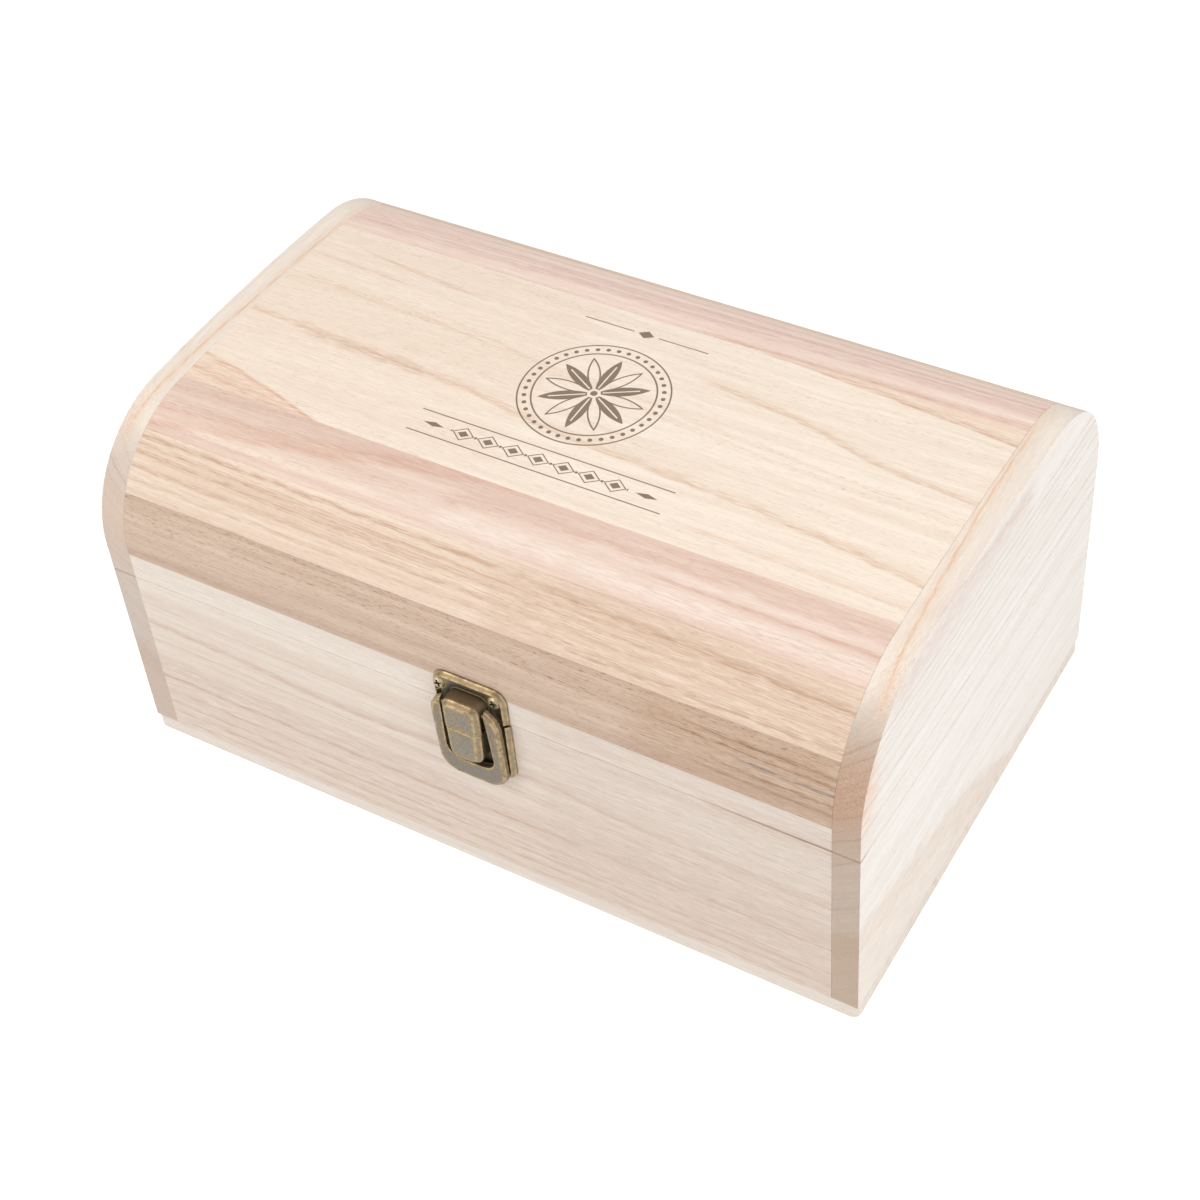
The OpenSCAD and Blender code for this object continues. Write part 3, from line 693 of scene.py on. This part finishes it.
wood_bottom = wood(
    "wood_bottom", lid_top, (241, 232, 223), (233, 221, 210), (214, 192, 176),
    facing=(0.02, 1, 0.6), spacing=6.0, sway=4.0, line_amount=0.35,
    end_tone=(0.99, 0.99, 0.99, 1), seed=113.0)

board_materials = {
    "bottom_panel": wood_bottom, "base_front_board": wood_front, "lid_front_rail": wood_front,
    "base_back_board": wood_back, "lid_back_rail": wood_back,
    "base_left_end": wood_left_end, "lid_left_end": wood_left_end,
    "base_right_end": wood_right_end, "lid_right_end": wood_right_end,
    "lid_front_stave_1": wood_stave_1, "lid_front_stave_2": wood_stave_2,
    "lid_front_stave_3": wood_stave_3, "lid_top_board": wood_top,
    "lid_back_stave_1": wood_back_stave_1, "lid_back_stave_2": wood_back_stave_2,
    "lid_back_stave_3": wood_back_stave_3,
}
print(len(board_materials), "boards")

# %% [markdown]
# ## Eased edges
# No sanded board has a knife edge, and a thin shadow line shows where two boards meet. The
# boards keep their own meshes, and modifiers do the work: Weld joins the loose triangles,
# Decimate takes the flat faces' inner edges away, Bevel eases the arrises by a fraction of a
# millimetre, and Weighted Normal keeps the flat faces looking flat.

# %% Ease the boards and give them their materials
SAME_POINT = 0.00001
FLAT_ANGLE = math.radians(0.2)
ARRIS_ANGLE = math.radians(35)
BOARD_EASE = 0.0001
END_EASE = 0.0002
BOTTOM_EASE = 0.0005


def give_material(piece, material):
    """Makes this the piece's only material."""
    piece.data.materials.clear()
    piece.data.materials.append(material)


def modify(piece, name, kind, **settings):
    """Adds a modifier with its settings."""
    set_all(piece.modifiers.new(name, kind), settings)


def ease(piece, width, segments=2):
    """Softens the edges of a CAD node with modifiers, in metres."""
    modify(piece, "join", "WELD", merge_threshold=SAME_POINT)
    modify(piece, "flat_faces", "DECIMATE", decimate_type="DISSOLVE", angle_limit=FLAT_ANGLE)
    modify(piece, "arris", "BEVEL", width=width, segments=segments, limit_method="ANGLE",
           angle_limit=ARRIS_ANGLE)
    modify(piece, "normals", "WEIGHTED_NORMAL")


for name, (material, _, _) in board_materials.items():
    give_material(nodes[name], material)
    ease(nodes[name], END_EASE if "end" in name else BOARD_EASE, 3 if "end" in name else 2)
nodes["bottom_panel"].modifiers["arris"].width = BOTTOM_EASE
print(len(board_materials), "boards eased")

# %% [markdown]
# ## The engraving
# A laser has burnt an ornament into the lid: brown, flat and crisp, with the grain still showing
# in it. The ornament is a compass rosette, drawn as children draw it with a pair of compasses,
# in a ring of dots, over a border of lozenges. All of it is arithmetic on the place in the board:
# folding the angle makes one petal into six, and folding the length makes one lozenge into many.

# %% Node group: engraved ornament
ornament, given, result = new_group("ornament", {"Place": (0, 0, 0)}, ["Mask"])
LINE_BLUR = 0.09
ROSETTE = (-1.0, 3.5)


def inside(distance):
    """One where a distance is below zero, with a crisp but smooth edge."""
    return ramp(distance, -LINE_BLUR, LINE_BLUR, 1.0, 0.0)


def band(value, middle, half_width):
    """One where a value lies within half a width of its middle."""
    away = maths("ABSOLUTE", minus(value, middle))
    return inside(minus(away, half_width))


def distance(x, y):
    """The length of a step x and y."""
    return maths("SQRT", plus(times(x, x), times(y, y)))


def folded(value, step):
    """A value folded so that it runs from -step/2 to step/2 again and again."""
    moved = plus(value, step / 2)
    return minus(maths("FLOORED_MODULO", moved, step), step / 2)


axes = split(given["Place"])
x = minus(axes["X"], ROSETTE[0])
y = minus(axes["Y"], ROSETTE[1])
radius = distance(x, y)
angle = maths("ARCTAN2", y, x)
print("the rosette's middle is at", ROSETTE)

# %% [markdown]
# A petal is what two circles share, so how far a point lies inside it comes from its distance to
# the farther circle's centre. Six filled petals have a vein, and six between them are outlines.

# %% The rosette
PETAL = 20.5
VEIN = 0.28
RING_LINES = ((22.0, 0.32), (26.9, 0.3))
HUB = 1.3
DOTS = 40
DOT_RING = 24.4
DOT_RADIUS = 0.85


def petals(turn):
    """How far inside the nearest of six petals a point lies, and its distance from the vein."""
    sector = folded(plus(angle, turn), math.pi / 3)
    out = times(radius, maths("COSINE", sector))
    aside = maths("ABSOLUTE", times(radius, maths("SINE", sector)))
    from_centre = distance(minus(out, PETAL / 2), plus(aside, PETAL * math.sqrt(3) / 2))
    return minus(PETAL, from_centre), aside


deep, aside = petals(math.pi / 6)
thin, _ = petals(0)
petal = inside(minus(0.35, deep))
vein = times(band(aside, 0, VEIN), band(radius, 9.5, 6.5))
petal = times(petal, minus(1, vein))
outline = times(band(thin, 0.6, 0.3), band(radius, 13, 8))
petal = times(petal, inside(minus(2.4, radius)))
dot_angle = folded(angle, 2 * math.pi / DOTS)
dot_distance = distance(minus(radius, DOT_RING), times(dot_angle, DOT_RING))
rings = [band(radius, middle, half_width) for middle, half_width in RING_LINES]
rosette = either(petal, outline, *rings, band(radius, 0, HUB),
                 inside(minus(dot_distance, DOT_RADIUS)))
print("rosette of", len(ornament.nodes), "nodes so far")

# %% [markdown]
# Below the rosette a chain of lozenges, with a dot in each gap and a small lozenge at each tip,
# runs between two rules. Above it stands a shorter rule with one lozenge in its gap.

# %% The border of lozenges and the small rule above
BORDER_Y = -34.0
UPPER_Y = 40.5
LOZENGE_STEP = 10.0
CHAIN_HALF = 35
RULE_HALF = 50
RULE_LINE = 0.24


def lozenge(x, y, half_width, half_height):
    """How far outside a lozenge a point lies."""
    width_share = over(maths("ABSOLUTE", x), half_width)
    height_share = over(maths("ABSOLUTE", y), half_height)
    return times(minus(plus(width_share, height_share), 1), half_height)


border_y = minus(axes["Y"], BORDER_Y)
step_x = folded(x, LOZENGE_STEP)
gap_x = folded(plus(x, LOZENGE_STEP / 2), LOZENGE_STEP)
outer = lozenge(step_x, border_y, 4.6, 3.4)
inner = lozenge(step_x, border_y, 2.2, 1.6)
gap_dot = minus(distance(gap_x, border_y), 0.55)
chain = either(band(outer, -0.35, 0.26), inside(inner), inside(gap_dot))
chain = times(chain, band(x, 0, CHAIN_HALF))
rule_height = maths("ABSOLUTE", border_y)
rules = times(band(rule_height, 5.4, RULE_LINE), band(x, 0, RULE_HALF))
tip_x = minus(maths("ABSOLUTE", x), 42)
tips = inside(lozenge(tip_x, border_y, 4.2, 1.1))
upper_y = minus(axes["Y"], UPPER_Y)
upper_lines = times(band(upper_y, 0, RULE_LINE), band(maths("ABSOLUTE", x), 15, 10))
upper = either(upper_lines, inside(lozenge(x, upper_y, 3.2, 2.2)))
put(result["Mask"], either(rosette, chain, rules, tips, upper))
print("ornament of", len(ornament.nodes), "nodes")

# %% [markdown]
# ## Burning it in
# The mask goes into the top board's material between its colour and its shader. The burnt wood
# is brown, keeps a little of the fibres' pattern, and lies a little deeper, so the bump's height
# is lowered by the same mask.

# %% Engrave the top board
ENGRAVED_ABOVE = 138
BURNT = paint(98, 75, 50)


def engrave(made):
    """Adds the engraving to a finished board material."""
    material, shader, place = made
    bench["tree"] = material.node_tree
    mask = place_group(ornament, Place=place)["Mask"]
    upper_face = maths("GREATER_THAN", split(place)["Z"], ENGRAVED_ABOVE)
    mask = times(mask, upper_face)
    plain = shader.inputs["Base Color"].links[0].from_socket
    burnt = blend(0.1, BURNT, plain)
    put(shader.inputs["Base Color"], blend(times(mask, 0.93), plain, burnt))
    bump = shader.inputs["Normal"].links[0].from_node
    relief = bump.inputs["Height"].links[0].from_socket
    put(bump.inputs["Height"], minus(relief, times(mask, 2)))


engrave(wood_top)
print("engraved", wood_top[0].name)

# %% [markdown]
# ## The saw cut
# The lid was sawn off after the box was glued up. Near the right front corner the blade ran hot
# and browned the wood on both sides of the cut, so a thin brown line is laid there, with a trace
# of it on the front edges of both end boards. On the face of the cut itself it is weaker.

# %% Brown the saw cut
SAW_HEIGHT = 84.9
SCORCH_HALF = 0.4
SCORCH = paint(148, 104, 72)
SCORCH_AMOUNT = 0.75
CUT_FACE_SHARE = 0.3


def scorch(made, along, start, end):
    """Browns the saw cut of a finished board material from start to end along a direction."""
    material, shader, _ = made
    bench["tree"] = material.node_tree
    place = place_group(board_place, Along=along, Across=(0, 0, 1), Depth=(0, 0, 0))["Place"]
    axes = split(place)
    cut = band(axes["Y"], SAW_HEIGHT, SCORCH_HALF)
    on_cut = place_group(end_grain, Along=(0, 0, 1))["Mask"]
    cut = times(cut, ramp(on_cut, 0, 1, 1.0, CUT_FACE_SHARE))
    amount = times(cut, ramp(axes["X"], start, end, 0.0, SCORCH_AMOUNT))
    plain = shader.inputs["Base Color"].links[0].from_socket
    put(shader.inputs["Base Color"], blend(amount, plain, SCORCH))


scorch(wood_front, (1, 0, 0), 90, 128)
scorch(wood_right_end, (0, -1, 0), 90, 97)
scorch(wood_left_end, (0, -1, 0), 93, 99)
print("browned the cut at", SAW_HEIGHT, "mm")

# %% [markdown]
# ## Antique brass
# The latch and the hinges are cast or stamped, plated, blackened and then tumbled. Tumbling rubs
# the dark skin off whatever stands out, so edges turn bright. On the small turned parts a Bevel
# node finds the edges: it gives the normal that a rounded edge would have, and where that differs
# from the true one there is an edge. The castings bring a measured attribute instead. Ambient
# Occlusion finds the hollows, which are painted black, partly as the blackened skin that stays
# there and partly as painted shade. Faces that look up get a painted reflection, and noise makes
# the pits.

# %% Node group: tumbled metal, with painted shade and painted reflection
tumbled_with_painted_light, given, result = new_group(
    "tumbled_with_painted_light", {"Edge": 0.0005, "Hollow": 0.0016, "Seed": 0.0},
    ["Worn", "Polish", "Patina_And_Painted_Shade", "Patch", "Speck", "Up", "Relief"])
true_normal = add("ShaderNodeNewGeometry", {}).outputs["Normal"]
round_normal = add("ShaderNodeBevel", {"Radius": given["Edge"]}, samples=8).outputs[0]
edge = ramp(minus(1, dot(true_normal, round_normal)), 0.01, 0.16)
near_edge = add("ShaderNodeAttribute", {}, attribute_name="near_edge").outputs["Fac"]
crest = ramp(near_edge, 0.5, 1.0)
put(result["Polish"], ramp(near_edge, 0.1, 0.95))
occlusion = add("ShaderNodeAmbientOcclusion", {"Distance": given["Hollow"]}, samples=8,
                only_local=True)
hollow = occlusion.outputs["AO"]
places = add("ShaderNodeTexCoord", {}).outputs
shift = add("ShaderNodeCombineXYZ", {"X": given["Seed"]}).outputs[0]
moved = vector_maths("ADD", places["Object"], shift)
patches = noise(moved, 420, 4, 0.7)
grit = noise(moved, 1300, 3, 0.7)
pits = noise(moved, 1100, 1)
exposed = ramp(hollow, 0.35, 0.85)
worn = times(either(edge, crest), exposed)
worn = times(worn, ramp(patches, 0.4, 0.62, 0.06, 0.55))
put(result["Worn"], worn)
# patina and painted shade: hollows found by occlusion are blackened
put(result["Patina_And_Painted_Shade"], ramp(hollow, 0.35, 0.95, 1.0, 0.0))
put(result["Patch"], ramp(patches, 0.4, 0.6))
put(result["Speck"], ramp(grit, 0.46, 0.66))
# painted reflection: faces that look up get a tone of their own
put(result["Up"], ramp(split(places["Normal"])["Z"], 0.3, 0.8))
deep_pits = ramp(pits, 0.68, 0.74)
put(result["Relief"], minus(times(grit, 0.35), deep_pits))
print("group", tumbled_with_painted_light.name)

# %% [markdown]
# A metal's colour is laid in this order: the dull skin and the warmer rubbed one, dark specks,
# a painted reflection on the faces that look up, the black in the hollows, which is patina and
# painted shade at once, and last the bright edges.

# %% Metal materials
BRIGHT = paint(204, 184, 140)
BLACK_PATINA_AND_SHADE = paint(30, 23, 15)
SPECK_TONE = (0.5, 0.46, 0.4, 1)
EDGE_POLISH = 0.14
PIT_DEPTH = 0.0001


def metal(name, dull, warm, up, seed, roughness=0.42, edge=0.0, hollow=0.003, metallic=0.9):
    """A plated metal from its dull and rubbed colours and its painted reflection on upward faces."""
    material, shader = new_material(name)
    # the group gives wear and patina, and also painted shade and a painted reflection
    wear = place_group(tumbled_with_painted_light, Edge=edge, Hollow=hollow, Seed=seed)
    rubbed = maths("MULTIPLY_ADD", wear["Polish"], 0.7, times(wear["Patch"], 0.5))
    colour = blend(rubbed, paint(*dull), paint(*warm))
    colour = blend(times(wear["Speck"], 0.6), colour, times_colour(colour, SPECK_TONE))
    # painted reflection on the faces that look up
    colour = blend(times(wear["Up"], 0.7), colour, paint(*up))
    # black in the hollows: patina and painted shade at once
    colour = blend(times(wear["Patina_And_Painted_Shade"], 0.95), colour, BLACK_PATINA_AND_SHADE)
    colour = blend(wear["Worn"], colour, BRIGHT)
    rough = ramp(wear["Worn"], 0, 1, roughness, roughness - EDGE_POLISH)
    bump = add("ShaderNodeBump",
               {"Height": wear["Relief"], "Strength": 0.6, "Distance": PIT_DEPTH})
    fill(shader, {"Base Color": colour, "Metallic": metallic, "Roughness": rough,
                  "Normal": bump.outputs[0]})
    return material


# the third colour of each brass is its painted reflection on faces that look up
brass_blocks = metal("brass_blocks", (134, 130, 121), (150, 130, 99), (120, 96, 66), 1.0)
brass_ring = metal("brass_ring", (122, 119, 114), (142, 122, 92), (126, 106, 78), 3.0)
brass_small = metal("brass_small", (134, 116, 82), (150, 130, 92), (150, 130, 92), 4.0,
                    roughness=0.36, edge=0.00025, hollow=0.001)
brass_screw = metal("brass_screw", (190, 174, 140), (202, 184, 146), (202, 184, 146), 5.0,
                    roughness=0.4, edge=0.0002, hollow=0.0012, metallic=0.5)
print("metals", brass_blocks.name, brass_ring.name, brass_small.name, brass_screw.name)

# %% [markdown]
# ## The cast latch
# The two plates and the ring are castings: every edge is slightly round and no face is quite
# flat. Each is a copy of its solid, merged and rebuilt from small voxels, smoothed so that the
# edges melt, pushed about by a few hundredths of a millimetre, and thinned to what shows.
# Before the edges melt, points are laid along every sharp outward edge of the solid. Each vertex
# of the casting then learns how near it is to such a point, and that is where it is worn.

# %% Where a casting wears
SHARP_ANGLE = math.radians(24)
CREST_STEP = 0.0001
EDGE_REACH = 0.0022


def crest_tree(mesh):
    """Points along the sharp outward edges of a mesh, ready to be searched."""
    shape = bmesh.new()
    shape.from_mesh(mesh)
    crests = []
    for edge in shape.edges:
        if edge.is_manifold and edge.is_convex and edge.calc_face_angle() > SHARP_ANGLE:
            steps = int(edge.calc_length() / CREST_STEP) + 1
            first, last = (corner.co for corner in edge.verts)
            crests += [first.lerp(last, step / steps) for step in range(steps + 1)]
    shape.free()
    tree = KDTree(len(crests))
    for number, place in enumerate(crests):
        tree.insert(place, number)
    tree.balance()
    return tree


def mark_wear(mesh, crests):
    """Stores for each vertex how near it is to a crest, from 0 to 1."""
    near = [max(0.0, 1 - crests.find(vertex.co)[2] / EDGE_REACH) for vertex in mesh.vertices]
    attribute = mesh.attributes.new("near_edge", "FLOAT", "POINT")
    attribute.data.foreach_set("value", near)


print("wear reaches", EDGE_REACH, "m from an edge")

# %% [markdown]
# Each casting stands in for its CAD node and rides on the same body, so it moves with the lid,
# the base or the ring.

# %% Cast copies of the latch's parts
CAST_VOXEL = 0.00017
CAST_SWELL = 0.00005
cast_surface = bpy.data.textures.new("cast_surface", "CLOUDS")
cast_surface.noise_scale = 0.0022


def modify_now(piece, kind, **settings):
    """Adds a modifier to the active piece and applies it."""
    modify(piece, kind, kind, **settings)
    bpy.ops.object.modifier_apply(modifier=kind)


def cast_copy(name, node, body, material):
    """A softened casting that stands for a CAD node and moves with its body."""
    bpy.ops.object.select_all(action="DESELECT")
    piece = bpy.data.objects.new(name, nodes[node].data.copy())
    bpy.context.collection.objects.link(piece)
    bpy.context.view_layer.objects.active = piece
    piece.select_set(True)
    bpy.ops.object.mode_set(mode="EDIT")
    bpy.ops.mesh.select_all(action="SELECT")
    bpy.ops.mesh.remove_doubles(threshold=SAME_POINT)
    bpy.ops.object.mode_set(mode="OBJECT")
    bpy.ops.mesh.customdata_custom_splitnormals_clear()
    crests = crest_tree(piece.data)
    modify_now(piece, "REMESH", mode="VOXEL", voxel_size=CAST_VOXEL)
    modify_now(piece, "SMOOTH", factor=0.5, iterations=4)
    modify_now(piece, "DISPLACE", texture=cast_surface, strength=CAST_SWELL, mid_level=0.5)
    modify_now(piece, "DECIMATE", ratio=0.5)
    mark_wear(piece.data, crests)
    bpy.ops.object.shade_smooth()
    give_material(piece, material)
    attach(piece, body)
    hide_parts(node)
    print(name, len(piece.data.polygons), "triangles")


cast_copy("cast_keeper_plate", "latch_upper_plate", "lid", brass_blocks)
cast_copy("cast_catch_plate", "latch_lower_plate", "base", brass_blocks)
cast_copy("cast_ring", "latch_ring", "ring", brass_ring)

# %% [markdown]
# ## Screws, pins and hinges
# These are turned or stamped, so their shapes are crisp and stay as they are. They only get the
# small parts' brass, and the hinge leaves a bevel like the boards'.

# %% Small metal parts
LEAF_EASE = 0.00012
for name, piece in nodes.items():
    if "screws" in name:
        give_material(piece, brass_screw)
    elif "pin" in name or "leaf" in name:
        give_material(piece, brass_small)
    if "leaf" in name:
        ease(piece, LEAF_EASE)
print("small parts wear", brass_small.name, "and", brass_screw.name)

# %% [markdown]
# ## Floor, world and lamps
# The photograph has a white studio around the box. The floor is an ordinary pale sheet that
# catches the shadow. For rays from the camera, and those seen in the metal, it also glows a
# little, more so far from the box, so that it reads as white without throwing more light on it.

# %% Floor
FLOOR_SIZE = 8
PAPER = (0.9, 0.9, 0.9, 1)
GLOW_STARTS, GLOW_ENDS = 0.5, 1.6
GLOW_NEAR, GLOW_FAR = 0.35, 0.5


def seen_rays():
    """One for rays from the camera and for those seen in a metal or through glass."""
    rays = add("ShaderNodeLightPath", {}).outputs
    return either(rays["Is Camera Ray"], either(rays["Is Glossy Ray"], rays["Is Transmission Ray"]))


bpy.ops.mesh.primitive_plane_add(size=FLOOR_SIZE, location=(0, 0, 0))
floor = bpy.context.object
floor.name = "floor"
floor_paper, shader = new_material("floor_paper")
seen = seen_rays()
place = split(add("ShaderNodeTexCoord", {}).outputs["Object"])
glow = ramp(distance(place["X"], place["Y"]), GLOW_STARTS, GLOW_ENDS, GLOW_NEAR, GLOW_FAR)
fill(shader, {"Base Color": PAPER, "Roughness": 1.0, "Specular IOR Level": 0.0,
              "Emission Color": WHITE, "Emission Strength": times(seen, glow)})
give_material(floor, floor_paper)
print("floor", FLOOR_SIZE, "m wide")

# %% [markdown]
# The world is white for the same rays and darker as a light, so that the box keeps its shadows.

# %% World
WORLD_LEVEL = 0.62
world = bpy.data.worlds.new("studio")
bpy.context.scene.world = world
world.use_nodes = True
bench["tree"] = world.node_tree
fill(world.node_tree.nodes["Background"],
     {"Color": WHITE, "Strength": ramp(seen_rays(), 0, 1, WORLD_LEVEL, 1.0)})
print("world lights at", WORLD_LEVEL)

# %% [markdown]
# Two large soft lamps shape the box: the key stands high at the right, so that the right end and
# the lid are brightest, and a weaker one stands at the front left.

# %% Lamps
LOOK_AT = Vector((0, 0, 0.07))


def soft_lamp(name, place, size, power):
    """A square lamp that looks at the middle of the box."""
    bpy.ops.object.light_add(type="AREA", location=place)
    lamp = bpy.context.object
    lamp.name = name
    set_all(lamp.data, {"size": size, "energy": power})
    lamp.rotation_euler = (LOOK_AT - Vector(place)).to_track_quat("-Z", "Y").to_euler()
    print(name, "lamp at", place)


soft_lamp("key", (1.2, -0.25, 1.15), 1.0, 10)
soft_lamp("fill", (-0.75, -1.0, 1.2), 0.9, 8.5)
